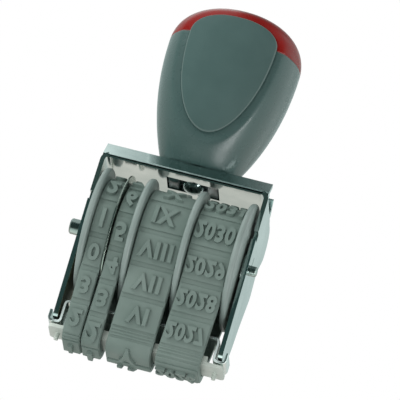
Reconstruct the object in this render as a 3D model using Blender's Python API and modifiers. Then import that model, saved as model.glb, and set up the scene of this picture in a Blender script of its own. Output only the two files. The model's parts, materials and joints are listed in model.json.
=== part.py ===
"""Hand date stamp: a bent metal frame, four band wheels on one axle, four type bands, and a plastic handle.

The stamp stands on its type faces. X runs along the axle, -Y is the front and Z is up.
The origin is the middle of the printing face, at the bottom.
"""

import math

import bmesh
import bpy
from mathutils import Matrix, Vector

MM = 0.001

# Fits
TOUCH_GAP = 0.3 * MM
RUNNING_GAP = 0.12 * MM
PANEL_GAP = 0.2 * MM
OVERRUN = 1.5 * MM
MERGE_DISTANCE = 0.01 * MM

# Wheels and axle
AXLE_SETBACK = -0.8 * MM
AXLE_RADIUS = 1.1 * MM
JOURNAL_RADIUS = 0.9 * MM
JOURNAL_REACH = 1.2 * MM
AXLE_HEAD_RADIUS = 1.4 * MM
AXLE_HEAD_LENGTH = 2.1 * MM
AXLE_EDGE = 0.25 * MM
BORE_PLAY = 0.1 * MM
RIM_RADIUS = 11.4 * MM
RIM_WIDTH = 1.1 * MM
RIM_ROUNDING = 0.45 * MM
RIM_HEADROOM = 2.6 * MM
DRIVE_TEETH = 8
GROOVE_RADIUS = 0.9 * MM
SEPARATOR_RADIUS = 11.0 * MM
SEPARATOR_THICKNESS = 0.25 * MM
SPACER_RADIUS = 3.2 * MM
LEFT_SPACER_LENGTH = 0.6 * MM
RIGHT_SPACER_LENGTH = 0.35 * MM

# Type bands
TENS_WIDTH = 3.15 * MM
UNITS_WIDTH = 2.8 * MM
MONTH_WIDTH = 7.8 * MM
YEAR_WIDTH = 7.5 * MM
BAND_SIDE_PLAY = 0.1 * MM
BAND_BELOW_RIM = 2.0 * MM
BAND_THICKNESS = 1.25 * MM
BAND_LIFT = 0.35 * MM
TYPE_RELIEF = 0.9 * MM
TYPE_ROWS = 13
PAD_LENGTH = 4.9 * MM
PAD_SIDE_MARGIN = 0.3 * MM
BAND_FACET = 2.0 * MM
# How far each band has been turned past its printing position, towards the front
TENS_TURN = 0.35 * MM
UNITS_TURN = -1.15 * MM
MONTH_TURN = 2.1 * MM
YEAR_TURN = 2.35 * MM
# The month band is stretched between its printing row and the row in front of that
MONTH_STRETCH = 1.35 * MM

# Platen under the bands
PLATEN_FLAT = 4.6 * MM
PLATEN_CORNER = 0.65 * MM
PLATEN_HEIGHT = 1.6 * MM
FOOT_THICKNESS = 0.65 * MM
FOOT_OVERHANG = 0.1 * MM
FOOT_DEPTH = 5.6 * MM
FOOT_CORNER = 0.9 * MM
PEG_RADIUS = 0.4 * MM
PEG_LENGTH = 1.25 * MM
PEG_INSET = 1.6 * MM

# Spring clip that holds the platen to the ends of the arms
CLIP_THICKNESS = 0.5 * MM
CLIP_DEPTH = 5.6 * MM
CLIP_BRIDGE_GAP = 3.35 * MM
CLIP_HOOK_RISE = 1.4 * MM
CLIP_BEND = 0.6 * MM

# Frame bent from one sheet
SHEET = 0.8 * MM
SHEET_BEND = 0.8 * MM
FRAME_DEPTH = 10.8 * MM
PLATE_HEADROOM = 1.1 * MM
LIP_HEIGHT = 2.0 * MM
LIP_LEAN = 1.9 * MM
LIP_INSET = 0.2 * MM
ARM_FOOT_GAP = 0.3 * MM
# Corners of the arm's back edge: shares of the rim's radius behind and above the axle, and rounding
HIP_SHARES = (0.55, -0.74, 0.18)
SHOULDER_SHARES = (0.79, -0.12, 0.18)
WAIST_SHARES = (0.68, 0.27, 0.18)
EAR_SHARES = (0.965, 0.61, 0.18)
EAR_TOP_ROUNDING_SHARE = 0.31
TAPER_HEIGHT = 5.4 * MM
TAPER_ROUNDING = 1.2 * MM
TONGUE_WIDTH = 6.8 * MM
TONGUE_CORNER = 1.2 * MM
NOTCH_HEIGHT = 1.5 * MM
NOTCH_DEPTH = 1.4 * MM
NOTCH_ABOVE_AXLE = 4.8 * MM
SLIT_WIDTH = 0.4 * MM
SLIT_LENGTH = 1.5 * MM
WINDOW_LENGTH = 9.4 * MM
WINDOW_DEPTH = 5.2 * MM
FRAME_EDGE = 0.1 * MM

# Handle, with heights above the top of the frame's plate
HANDLE_OFFSET = 1.2 * MM
HANDLE_HEIGHT = 32.7 * MM
CROWN_HEIGHT = 8.1 * MM
HANDLE_WIDTH = 24.2 * MM
HANDLE_THICKNESS = 21.0 * MM
NECK_WIDTH = 13.5 * MM
NECK_THICKNESS = 7.0 * MM
NECK_WIDTH_CURVE_SHARE = 2.1
NECK_DEPTH_CURVE_SHARE = 3.4
CROWN_CURVE_SHARE = 2.2
SECTION_CURVE_SHARE = 2.1
HANDLE_SIDES = 40
HANDLE_RINGS = 11
CROWN_RINGS = 8
CROWN_FLAT_SHARE = 0.985
CAP_HEIGHT = 7.7 * MM
SPIGOT_RADIUS = 3.0 * MM
SPIGOT_LENGTH = 4.0 * MM
PANEL_BOTTOM = 7.2 * MM
PANEL_TOP_INSET = 3.8 * MM
PANEL_WIDTH = 15.6 * MM
PANEL_THICKNESS = 1.2 * MM
PANEL_TOP_CURVE_SHARE = 2.4
PANEL_BOTTOM_CURVE_SHARE = 2.0
PANEL_POINTS = 32
BASE_LENGTH = 12.6 * MM
PRONG_WIDTH = 1.7 * MM

# Screw from below, into an insert moulded in the handle
SCREW_RADIUS = 1.1 * MM
SCREW_PLAY = 0.2 * MM
SCREW_LENGTH = 9.5 * MM
SCREW_HEAD_RADIUS = 1.95 * MM
SCREW_HEAD_HEIGHT = 1.8 * MM
SCREW_HEAD_RIM_SHARE = 0.25
SCREW_DOME_STEPS = 4
INSERT_RADIUS = 2.2 * MM
INSERT_LENGTH = 5.0 * MM
INSERT_START = 3.2 * MM

# Places that follow from the sizes above
PLATEN_BOTTOM = TYPE_RELIEF + BAND_THICKNESS + TOUCH_GAP
BRIDGE_BOTTOM = PLATEN_BOTTOM + PLATEN_HEIGHT + CLIP_BRIDGE_GAP
AXLE_HEIGHT = BRIDGE_BOTTOM + CLIP_THICKNESS + RIM_HEADROOM + RIM_RADIUS
BAND_RADIUS = RIM_RADIUS - BAND_BELOW_RIM
DRUM_RADIUS = BAND_RADIUS - BAND_THICKNESS - BAND_LIFT
TENS_DRUM = TENS_WIDTH + 2 * BAND_SIDE_PLAY
UNITS_DRUM = UNITS_WIDTH + 2 * BAND_SIDE_PLAY
MONTH_DRUM = MONTH_WIDTH + 2 * BAND_SIDE_PLAY
YEAR_DRUM = YEAR_WIDTH + 2 * BAND_SIDE_PLAY
STACK_LENGTH = (LEFT_SPACER_LENGTH + RIGHT_SPACER_LENGTH + SEPARATOR_THICKNESS + 4 * RIM_WIDTH
                + TENS_DRUM + UNITS_DRUM + MONTH_DRUM + YEAR_DRUM + 8 * RUNNING_GAP)
ARM_OUTSIDE = STACK_LENGTH / 2 + SHEET
PLATE_UNDERSIDE = AXLE_HEIGHT + RIM_RADIUS + PLATE_HEADROOM
PLATE_TOP = PLATE_UNDERSIDE + SHEET
CORNER_HEIGHT = TYPE_RELIEF + BAND_THICKNESS + TOUCH_GAP + PLATEN_CORNER
CORNER_RADIUS = CORNER_HEIGHT - TYPE_RELIEF
CLIP_GAP = CLIP_BEND - CLIP_THICKNESS / 2
FOOT_REACH = ARM_OUTSIDE + CLIP_GAP + CLIP_THICKNESS + FOOT_OVERHANG
CLIP_BOTTOM = PLATEN_BOTTOM + FOOT_THICKNESS + TOUCH_GAP
ARM_BOTTOM = CLIP_BOTTOM + CLIP_THICKNESS + ARM_FOOT_GAP
HANDLE_BOTTOM = PLATE_TOP + TOUCH_GAP
HANDLE_WIDEST = HANDLE_HEIGHT - CROWN_HEIGHT
HEAD_SEAT = HANDLE_BOTTOM - TOUCH_GAP
NECK_HEIGHT = LIP_HEIGHT + TOUCH_GAP

SIDEWAYS = Matrix(((0, 0, 1), (1, 0, 0), (0, 1, 0))).to_4x4()
UPRIGHT = Matrix.Rotation(math.pi / 2, 4, "X")
ALONG_AXLE = Matrix.Rotation(math.pi / 2, 4, "Y")


def clear_scene():
    for obj in list(bpy.data.objects):
        bpy.data.objects.remove(obj, do_unlink=True)


def make_collection(name):
    collection = bpy.data.collections.new(name)
    bpy.context.scene.collection.children.link(collection)
    return collection


def make_material(name, colour, roughness, metallic):
    material = bpy.data.materials.new(name)
    material.use_nodes = True
    shader = material.node_tree.nodes["Principled BSDF"]
    shader.inputs["Base Color"].default_value = (*colour, 1)
    shader.inputs["Roughness"].default_value = roughness
    shader.inputs["Metallic"].default_value = metallic
    return material


def add_part(name, mesh, material, matrix=Matrix()):
    obj = bpy.data.objects.new(name, mesh)
    obj.matrix_world = matrix
    mesh.materials.append(material)
    PARTS.objects.link(obj)
    return obj


def add_cutter(name, mesh, matrix=Matrix()):
    obj = bpy.data.objects.new(name, mesh)
    obj.matrix_world = matrix
    obj.hide_render = True
    obj.display_type = "WIRE"
    CUTTERS.objects.link(obj)
    return obj


def combine(obj, other, operation):
    modifier = obj.modifiers.new(other.name, "BOOLEAN")
    modifier.operation = operation
    modifier.solver = "EXACT"
    modifier.object = other


def mesh_from(bm, name):
    mesh = bpy.data.meshes.new(name)
    bm.to_mesh(mesh)
    bm.free()
    return mesh


def box_mesh(name, low, high):
    low, high = Vector(low), Vector(high)
    bm = bmesh.new()
    bmesh.ops.create_cube(bm, size=1)
    bmesh.ops.scale(bm, vec=high - low, verts=bm.verts)
    bmesh.ops.translate(bm, vec=(low + high) / 2, verts=bm.verts)
    return mesh_from(bm, name)


def rod_mesh(name, radius, start, end, sides=24):
    """A cylinder along local Z, from start to end."""
    bm = bmesh.new()
    bmesh.ops.create_cone(bm, cap_ends=True, segments=sides, radius1=radius, radius2=radius,
                          depth=end - start)
    bmesh.ops.translate(bm, vec=(0, 0, (start + end) / 2), verts=bm.verts)
    return mesh_from(bm, name)


def arc(centre, radius, start, end, steps):
    """Points on a circle, with angles in degrees."""
    points = []
    for step in range(steps + 1):
        angle = math.radians(start + (end - start) * step / steps)
        points.append((centre[0] + radius * math.cos(angle), centre[1] + radius * math.sin(angle)))
    return points


def sheet_outline(path, thickness):
    """The closed outline of a sheet of even thickness, whose middle runs along the path."""
    left, right = [], []
    for index, point in enumerate(path):
        here = Vector(point)
        before = Vector(path[max(index - 1, 0)])
        after = Vector(path[min(index + 1, len(path) - 1)])
        into = (here - before).normalized() if index else (after - here).normalized()
        out = (after - here).normalized() if index < len(path) - 1 else into
        along = (into + out).normalized()
        normal = Vector((-along.y, along.x)) * thickness / 2 / along.dot(into)
        left.append(here + normal)
        right.append(here - normal)
    return [tuple(p) for p in left + right[::-1]]


def rounded(corners, steps=4, closed=False):
    """Points that join the corners, given as (x, y, radius), with an arc at each that has a radius."""
    points = []
    for index, (x, y, radius) in enumerate(corners):
        if not radius or (not closed and index in (0, len(corners) - 1)):
            points.append((x, y))
            continue
        corner = Vector((x, y))
        into = (corner - Vector(corners[index - 1][:2])).normalized()
        out = (Vector(corners[(index + 1) % len(corners)][:2]) - corner).normalized()
        turn = into.angle(out)
        side = 1 if into.cross(out) > 0 else -1
        touch = corner - into * radius * math.tan(turn / 2)
        centre = touch + Vector((-into.y, into.x)) * side * radius
        start = math.degrees(math.atan2(*(touch - centre).yx))
        points += arc(centre, radius, start, start + side * math.degrees(turn), steps)
    return points


def bent_sheet(corners, radius, thickness, steps=4):
    """The outline of a sheet bent at each inner corner, whose middle has the radius there."""
    path = rounded([(x, y, radius) for x, y in corners], steps)
    return sheet_outline(path, thickness)


def flat_curve(name, thickness, points):
    """A flat outline with thickness, extruded both ways along its local Z."""
    curve = bpy.data.curves.new(name, "CURVE")
    curve.dimensions = "2D"
    curve.fill_mode = "BOTH"
    curve.extrude = thickness / 2
    spline = curve.splines.new("POLY")
    spline.points.add(len(points) - 1)
    for target, (x, y) in zip(spline.points, points):
        target.co = (x, y, 0, 1)
    spline.use_cyclic_u = True
    return curve


def curve_to_mesh(curve, matrix=Matrix()):
    """The welded mesh of a flat curve, with the matrix applied."""
    holder = bpy.data.objects.new(curve.name, curve)
    bpy.context.scene.collection.objects.link(holder)
    bpy.context.view_layer.update()
    evaluated = holder.evaluated_get(bpy.context.evaluated_depsgraph_get())
    mesh = bpy.data.meshes.new_from_object(evaluated)
    bpy.data.objects.remove(holder)
    bm = bmesh.new()
    bm.from_mesh(mesh)
    bmesh.ops.remove_doubles(bm, verts=bm.verts, dist=MERGE_DISTANCE)
    bmesh.ops.transform(bm, matrix=matrix, verts=bm.verts)
    bm.to_mesh(mesh)
    bm.free()
    return mesh


def turned_mesh(name, profile, closed):
    """A profile of (radius, height) points, for a Screw modifier about local Z."""
    bm = bmesh.new()
    verts = [bm.verts.new((radius, 0, height)) for radius, height in profile]
    pairs = zip(verts, verts[1:] + verts[:1]) if closed else zip(verts, verts[1:])
    for first, second in pairs:
        bm.edges.new((first, second))
    return mesh_from(bm, name)


def add_screw(obj, steps):
    modifier = obj.modifiers.new("turn", "SCREW")
    modifier.steps = steps
    modifier.render_steps = steps
    modifier.use_merge_vertices = True
    modifier.merge_threshold = MERGE_DISTANCE
    modifier.use_smooth_shade = True


def add_turned(name, profile, material, matrix, steps=32, closed=True):
    obj = add_part(name, turned_mesh(name, profile, closed), material, matrix)
    add_screw(obj, steps)
    return obj


def on_axle(along):
    """Where a turned piece whose local Z becomes X starts on the axle."""
    return Matrix.Translation((along, AXLE_SETBACK, AXLE_HEIGHT)) @ ALONG_AXLE


def ring_profile(inner, outer, start, end):
    return [(inner, end), (outer, end), (outer, start), (inner, start)]


class BandPath:
    """The side view of a band: round the wheel, and round the platen's two corners.

    Distances run from the middle of the printing face, forwards and up over the wheel. They are
    measured in the middle of the rubber, so its outer surface is stretched at each bend.
    """

    def __init__(self):
        self.wheel = Vector((AXLE_SETBACK, AXLE_HEIGHT))
        self.front = Vector((-PLATEN_FLAT / 2, CORNER_HEIGHT))
        self.back = Vector((PLATEN_FLAT / 2, CORNER_HEIGHT))
        step = BAND_RADIUS - CORNER_RADIUS
        to_front = self.wheel - self.front
        to_back = self.wheel - self.back
        lean_front = math.atan2(to_front.x, to_front.y) - math.asin(step / to_front.length)
        lean_back = math.atan2(to_back.x, to_back.y) + math.asin(step / to_back.length)
        self.front_run = math.sqrt(to_front.length_squared - step * step)
        self.back_run = math.sqrt(to_back.length_squared - step * step)
        # Angles are measured clockwise from straight down, seen from +X
        self.front_angle = math.pi / 2 + lean_front
        self.back_angle = 3 * math.pi / 2 + lean_back
        self.corner_bend = CORNER_RADIUS - BAND_THICKNESS / 2
        self.wheel_bend = BAND_RADIUS - BAND_THICKNESS / 2
        self.lengths = [
            PLATEN_FLAT / 2,
            self.front_angle * self.corner_bend,
            self.front_run,
            (self.back_angle - self.front_angle) * self.wheel_bend,
            self.back_run,
            (2 * math.pi - self.back_angle) * self.corner_bend,
            PLATEN_FLAT / 2,
        ]
        self.radii = [0, CORNER_RADIUS, 0, BAND_RADIUS, 0, CORNER_RADIUS, 0]
        self.total = sum(self.lengths)

    def locate(self, distance):
        """The stretch that a distance falls in, and how far into it."""
        distance %= self.total
        stretch = 0
        while distance > self.lengths[stretch] and stretch < len(self.lengths) - 1:
            distance -= self.lengths[stretch]
            stretch += 1
        return stretch, distance

    def place(self, distance, lift):
        """The (y, z) point at a distance along the band, raised from its outer surface."""
        stretch, distance = self.locate(distance)
        if stretch in (0, 6):
            start = 0 if stretch == 0 else PLATEN_FLAT / 2
            return Vector((start - distance, CORNER_HEIGHT - CORNER_RADIUS - lift))
        if stretch == 1:
            centre, radius, angle = self.front, CORNER_RADIUS, distance / self.corner_bend
        elif stretch == 3:
            centre, radius = self.wheel, BAND_RADIUS
            angle = self.front_angle + distance / self.wheel_bend
        elif stretch == 5:
            centre, radius = self.back, CORNER_RADIUS
            angle = self.back_angle + distance / self.corner_bend
        elif stretch == 2:
            centre, radius, angle = self.front, CORNER_RADIUS, self.front_angle
        else:
            centre, radius, angle = self.wheel, BAND_RADIUS, self.back_angle
        outward = Vector((-math.sin(angle), -math.cos(angle)))
        point = centre + outward * (radius + lift)
        if stretch in (2, 4):
            point += Vector((-math.cos(angle), math.sin(angle))) * distance
        return point


def type_spans(path, turn, stretch):
    """Where each row of type starts and ends along the band, from the printing row on."""
    pitch = (path.total - stretch) / TYPE_ROWS
    middles = [turn] + [turn + stretch + row * pitch for row in range(1, TYPE_ROWS)]
    return [(middle - PAD_LENGTH / 2, middle + PAD_LENGTH / 2) for middle in middles]


def band_stations(path, spans):
    """Distances along the band of its cross-sections: each change of shape, and steps round each bend."""
    marks = {end % path.total for span in spans for end in span}
    marks |= {sum(path.lengths[:count]) for count in range(len(path.lengths))}
    marks = sorted(marks)
    stations = []
    for start, end in zip(marks, marks[1:] + [marks[0] + path.total]):
        stretch, _ = path.locate((start + end) / 2)
        facet = BAND_FACET * math.sqrt(path.radii[stretch] / BAND_RADIUS)
        steps = math.ceil((end - start) / facet) if facet else 1
        stations += [start + (end - start) * step / steps for step in range(steps)]
    return stations


def in_span(distance, spans, total):
    return any((distance - start) % total < end - start for start, end in spans)


def band_mesh(name, width, turn, stretch):
    """A closed band with a raised pad for each row of type."""
    path = BandPath()
    spans = type_spans(path, turn, stretch)
    stations = band_stations(path, spans)
    columns = [-width / 2, -width / 2 + PAD_SIDE_MARGIN, width / 2 - PAD_SIDE_MARGIN, width / 2]
    bm = bmesh.new()
    along = bm.verts.layers.float.new("along")
    rings = []
    for distance in stations:
        ring = []
        for x, lift in [(x, 0) for x in columns] + [(x, -BAND_THICKNESS) for x in reversed(columns)]:
            y, z = path.place(distance, lift)
            vert = bm.verts.new((x, y, z))
            vert[along] = distance
            ring.append(vert)
        rings.append(ring)
    pads = []
    for index, ring in enumerate(rings):
        following = rings[(index + 1) % len(rings)]
        start = stations[index]
        end = stations[(index + 1) % len(stations)]
        middle = start + ((end - start) % path.total) / 2
        for side in range(len(ring)):
            turn_side = (side + 1) % len(ring)
            face = bm.faces.new((ring[side], following[side], following[turn_side], ring[turn_side]))
            if side == 1 and in_span(middle, spans, path.total):
                pads.append(face)
    raised = bmesh.ops.extrude_face_region(bm, geom=pads)
    for vert in (item for item in raised["geom"] if isinstance(item, bmesh.types.BMVert)):
        vert.co.yz = path.place(vert[along], TYPE_RELIEF)
    bmesh.ops.delete(bm, geom=pads, context="FACES_ONLY")
    bmesh.ops.recalc_face_normals(bm, faces=bm.faces)
    return mesh_from(bm, name)


def add_band(name, middle, width, turn, stretch=0):
    mesh = band_mesh(name, width, turn, stretch)
    return add_part(name, mesh, RUBBER, Matrix.Translation((middle, 0, 0)))


def wheel_profile(drum, rim_first):
    """Drum and rim in one turned profile, from local height 0 up."""
    bore = AXLE_RADIUS + BORE_PLAY
    rim_start = 0 if rim_first else drum
    rim_end = rim_start + RIM_WIDTH
    length = drum + RIM_WIDTH
    edge = RIM_RADIUS - RIM_ROUNDING
    rim = arc((edge, rim_end - RIM_ROUNDING), RIM_ROUNDING, 90, 0, 3)
    rim += arc((edge, rim_start + RIM_ROUNDING), RIM_ROUNDING, 0, -90, 3)
    if rim_first:
        return [(bore, length), (DRUM_RADIUS, length), (DRUM_RADIUS, RIM_WIDTH)] + rim + [(bore, 0)]
    return [(bore, length)] + rim + [(DRUM_RADIUS, drum), (DRUM_RADIUS, 0), (bore, 0)]


def groove_cutter(name, start, end):
    """The round grooves between the drive teeth of a drum."""
    bm = bmesh.new()
    for tooth in range(DRIVE_TEETH):
        angle = 2 * math.pi * tooth / DRIVE_TEETH
        spot = Matrix.Translation((DRUM_RADIUS * math.cos(angle), DRUM_RADIUS * math.sin(angle),
                                   (start + end) / 2))
        bmesh.ops.create_cone(bm, cap_ends=True, segments=8, radius1=GROOVE_RADIUS,
                              radius2=GROOVE_RADIUS, depth=end - start, matrix=spot)
    return mesh_from(bm, name)


def add_wheel(name, start, drum, rim_first):
    """A wheel with its grooved drum on the axle, from start along X."""
    place = on_axle(start)
    wheel = add_turned(name, wheel_profile(drum, rim_first), WHEEL_PLASTIC, place, steps=40)
    if rim_first:
        low, high = RIM_WIDTH, RIM_WIDTH + drum + OVERRUN
    else:
        low, high = -OVERRUN, drum
    cutter = add_cutter(name + "_grooves", groove_cutter(name + "_grooves", low, high), place)
    combine(wheel, cutter, "DIFFERENCE")
    return wheel


def add_wheel_stack():
    """Spacers, wheels, separator and bands, laid out from the left arm to the right."""
    bore = AXLE_RADIUS + BORE_PLAY
    x = -STACK_LENGTH / 2 + RUNNING_GAP
    add_turned("left_spacer", ring_profile(bore, SPACER_RADIUS, 0, LEFT_SPACER_LENGTH),
               STEEL, on_axle(x))
    x += LEFT_SPACER_LENGTH + RUNNING_GAP
    add_wheel("day_tens_wheel", x, TENS_DRUM, True)
    add_band("day_tens_band", x + RIM_WIDTH + TENS_DRUM / 2, TENS_WIDTH, TENS_TURN)
    x += RIM_WIDTH + TENS_DRUM + RUNNING_GAP
    add_turned("separator_disc", ring_profile(bore, SEPARATOR_RADIUS, 0, SEPARATOR_THICKNESS),
               STEEL, on_axle(x), steps=48)
    x += SEPARATOR_THICKNESS + RUNNING_GAP
    for name, width, drum, turn, stretch in (
            ("day_units", UNITS_WIDTH, UNITS_DRUM, UNITS_TURN, 0),
            ("month", MONTH_WIDTH, MONTH_DRUM, MONTH_TURN, MONTH_STRETCH),
            ("year", YEAR_WIDTH, YEAR_DRUM, YEAR_TURN, 0)):
        add_wheel(name + "_wheel", x, drum, False)
        add_band(name + "_band", x + drum / 2, width, turn, stretch)
        x += drum + RIM_WIDTH + RUNNING_GAP
    add_turned("right_spacer", ring_profile(bore, SPACER_RADIUS, 0, RIGHT_SPACER_LENGTH),
               STEEL, on_axle(x))


def add_axle():
    """A headed pin from the left arm to the right, where a thinner end comes through."""
    head_end = -ARM_OUTSIDE - RUNNING_GAP
    head_start = head_end - AXLE_HEAD_LENGTH
    step = ARM_OUTSIDE - SHEET - RUNNING_GAP
    tip = ARM_OUTSIDE + JOURNAL_REACH
    profile = [(0, tip), (JOURNAL_RADIUS - AXLE_EDGE, tip), (JOURNAL_RADIUS, tip - AXLE_EDGE),
               (JOURNAL_RADIUS, step), (AXLE_RADIUS, step), (AXLE_RADIUS, head_end),
               (AXLE_HEAD_RADIUS, head_end), (AXLE_HEAD_RADIUS, head_start + AXLE_EDGE),
               (AXLE_HEAD_RADIUS - AXLE_EDGE, head_start), (0, head_start)]
    add_turned("axle", profile, STEEL, on_axle(0), steps=24, closed=False)


def behind_axle(shares):
    """A rounded corner of the arm's back edge, from shares of the rim's radius."""
    reach, rise, rounding = (share * RIM_RADIUS for share in shares)
    return reach, AXLE_HEIGHT + rise, rounding


def side_outline():
    """The frame's side view: an ear behind the wheels, and arms that taper down to their tongues."""
    front = -FRAME_DEPTH / 2
    top = PLATE_TOP + OVERRUN
    arm_top = PLATE_UNDERSIDE - SHEET_BEND
    notch_top = AXLE_HEIGHT + NOTCH_ABOVE_AXLE + NOTCH_HEIGHT / 2
    notch_bottom = notch_top - NOTCH_HEIGHT
    half = TONGUE_WIDTH / 2
    return rounded([
        (front, top, 0),
        (front, notch_top, 0),
        (front + NOTCH_DEPTH, notch_top, 0),
        (front + NOTCH_DEPTH, notch_bottom, 0),
        (front, notch_bottom, 0),
        (-half, ARM_BOTTOM, TONGUE_CORNER),
        (half, ARM_BOTTOM, TONGUE_CORNER),
        (-front, ARM_BOTTOM + TAPER_HEIGHT, TAPER_ROUNDING),
        behind_axle(HIP_SHARES),
        behind_axle(SHOULDER_SHARES),
        behind_axle(WAIST_SHARES),
        behind_axle(EAR_SHARES),
        (behind_axle(EAR_SHARES)[0], arm_top, EAR_TOP_ROUNDING_SHARE * RIM_RADIUS),
        (-front, arm_top, 0),
        (-front, top, 0),
    ], closed=True)


def add_frame():
    """The bent bracket: a channel cut to its side view, with a lip folded up at the front and the back."""
    middle = ARM_OUTSIDE - SHEET / 2
    plate_middle = PLATE_TOP - SHEET / 2
    channel = bent_sheet([(-middle, 0), (-middle, plate_middle), (middle, plate_middle), (middle, 0)],
                         SHEET_BEND + SHEET / 2, SHEET, 5)
    curve = flat_curve("frame", 2 * (RIM_RADIUS + OVERRUN), channel)
    frame = add_part("frame", curve_to_mesh(curve, UPRIGHT), CHROME)
    side_view = flat_curve("side_view", 2 * (ARM_OUTSIDE + OVERRUN), side_outline())
    combine(frame, add_cutter("side_view", curve_to_mesh(side_view, SIDEWAYS)), "INTERSECT")

    lip_bottom = FRAME_DEPTH / 2 - SHEET / 2
    for name, side in (("front", -1), ("back", 1)):
        corners = [(side * (lip_bottom - 2 * SHEET), plate_middle), (side * lip_bottom, plate_middle),
                   (side * (lip_bottom - LIP_LEAN), PLATE_TOP + LIP_HEIGHT)]
        outline = bent_sheet(corners, SHEET / 2 + FRAME_EDGE, SHEET, 3)
        curve = flat_curve(name + "_lip", 2 * (ARM_OUTSIDE - LIP_INSET), outline)
        combine(frame, add_cutter(name + "_lip", curve_to_mesh(curve, SIDEWAYS)), "UNION")

    for name, side in (("left", -1), ("right", 1)):
        radius = (AXLE_RADIUS if side < 0 else JOURNAL_RADIUS) + BORE_PLAY
        hole = rod_mesh(name + "_hole", radius, side * middle - SHEET, side * middle + SHEET, 20)
        combine(frame, add_cutter(name + "_hole", hole, on_axle(0)), "DIFFERENCE")
        slit = box_mesh(name + "_slit",
                        (side * middle - SHEET, AXLE_SETBACK - SLIT_WIDTH / 2, AXLE_HEIGHT),
                        (side * middle + SHEET, AXLE_SETBACK + SLIT_WIDTH / 2,
                         AXLE_HEIGHT + radius + SLIT_LENGTH))
        combine(frame, add_cutter(name + "_slit", slit), "DIFFERENCE")

    window = box_mesh("window",
                      (HANDLE_OFFSET - WINDOW_LENGTH / 2, -WINDOW_DEPTH / 2, PLATE_UNDERSIDE - OVERRUN),
                      (HANDLE_OFFSET + WINDOW_LENGTH / 2, WINDOW_DEPTH / 2, PLATE_TOP + OVERRUN))
    combine(frame, add_cutter("window", window), "DIFFERENCE")


def platen_ends():
    """Where the bar that fills the bands starts and ends along X."""
    left = -STACK_LENGTH / 2 + LEFT_SPACER_LENGTH + RIM_WIDTH
    right = STACK_LENGTH / 2 - RIGHT_SPACER_LENGTH - RIM_WIDTH
    return left, right


def add_platen():
    """The moulded bar that presses the type down, with a foot and a peg at each end."""
    half = PLATEN_FLAT / 2 + PLATEN_CORNER
    left, right = platen_ends()
    low = PLATEN_BOTTOM
    outline = arc((-half + PLATEN_CORNER, low + PLATEN_CORNER), PLATEN_CORNER, 180, 270, 4)
    outline += arc((half - PLATEN_CORNER, low + PLATEN_CORNER), PLATEN_CORNER, 270, 360, 4)
    outline += [(half, low + PLATEN_HEIGHT), (-half, low + PLATEN_HEIGHT)]
    curve = flat_curve("platen", right - left, outline)
    place = Matrix.Translation(((left + right) / 2, 0, 0)) @ SIDEWAYS
    platen = add_part("platen", curve_to_mesh(curve, place), CREAM)
    reach, depth = FOOT_REACH, FOOT_DEPTH / 2
    corners = [(-reach, -depth, FOOT_CORNER), (reach, -depth, FOOT_CORNER),
               (reach, depth, FOOT_CORNER), (-reach, depth, FOOT_CORNER)]
    foot = flat_curve("feet", FOOT_THICKNESS, rounded(corners, closed=True))
    place = Matrix.Translation((0, 0, low + FOOT_THICKNESS / 2))
    combine(platen, add_cutter("feet", curve_to_mesh(foot, place)), "UNION")
    for name, side in (("left", -1), ("right", 1)):
        peg = rod_mesh(name + "_peg", PEG_RADIUS, low - PEG_LENGTH, low + FOOT_THICKNESS / 2, 12)
        place = Matrix.Translation((side * (FOOT_REACH - PEG_INSET), 0, 0))
        combine(platen, add_cutter(name + "_peg", peg, place), "UNION")


def add_platen_clip():
    """A spring strip across the arms, whose ends hook round the arms' tongues."""
    inner = ARM_OUTSIDE - SHEET - CLIP_GAP - CLIP_THICKNESS / 2
    outer = ARM_OUTSIDE + CLIP_GAP + CLIP_THICKNESS / 2
    bottom = CLIP_BOTTOM + CLIP_THICKNESS / 2
    bridge = BRIDGE_BOTTOM + CLIP_THICKNESS / 2
    tip = ARM_BOTTOM + CLIP_HOOK_RISE
    corners = [(-outer, tip), (-outer, bottom), (-inner, bottom), (-inner, bridge),
               (inner, bridge), (inner, bottom), (outer, bottom), (outer, tip)]
    curve = flat_curve("platen_clip", CLIP_DEPTH, bent_sheet(corners, CLIP_BEND, CLIP_THICKNESS))
    add_part("platen_clip", curve_to_mesh(curve, UPRIGHT), CHROME)


def handle_half(height, widest, narrow, neck_curve):
    """Half the handle's width or thickness at a height above the plate."""
    if height >= HANDLE_WIDEST:
        rise = (height - HANDLE_WIDEST) / (HANDLE_HEIGHT - HANDLE_WIDEST)
        return widest * (1 - rise ** CROWN_CURVE_SHARE) ** (1 / CROWN_CURVE_SHARE)
    fall = (HANDLE_WIDEST - height) / (HANDLE_WIDEST - NECK_HEIGHT)
    return widest - (widest - narrow) * fall ** neck_curve


def handle_heights():
    """Heights of the rings, evenly down the neck and by angle over the crown."""
    heights = []
    for ring in range(HANDLE_RINGS):
        heights.append(NECK_HEIGHT + (HANDLE_WIDEST - NECK_HEIGHT) * ring / HANDLE_RINGS)
    for ring in range(CROWN_RINGS + 1):
        rise = math.sin(math.pi / 2 * ring / CROWN_RINGS) * CROWN_FLAT_SHARE
        heights.append(HANDLE_WIDEST + (HANDLE_HEIGHT - HANDLE_WIDEST) * rise)
    return heights


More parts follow.
